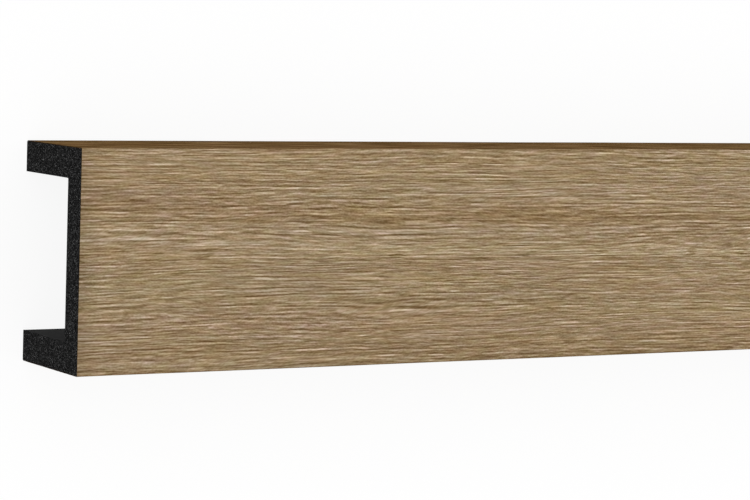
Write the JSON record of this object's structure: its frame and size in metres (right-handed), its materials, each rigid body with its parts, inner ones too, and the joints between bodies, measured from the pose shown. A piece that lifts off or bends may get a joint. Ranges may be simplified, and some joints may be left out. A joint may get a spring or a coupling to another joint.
{
  "type": "panel moulding",
  "caption": "Straight panel moulding of channel section: a black foam core wrapped on its face and sides in an oak-print foil, with an open back that is glued to a wall.",
  "frame": {"origin": "middle of the back plane, on which the moulding lies", "axes": "+X along the length, +Y across the face, +Z out of the face and away from the wall"},
  "size_m": [2, 0.05, 0.03],
  "materials": {
    "black_foam": "black foamed polymer, smooth on the extruded sides and fine-celled on the sawn ends",
    "oak_foil": "printed polymer foil in a brushed oak grain along the length, satin and lightly embossed"
  },
  "bodies": {
    "root": {"foam_core": "black_foam", "oak_foil": "oak_foil"}
  },
  "joints": []
}
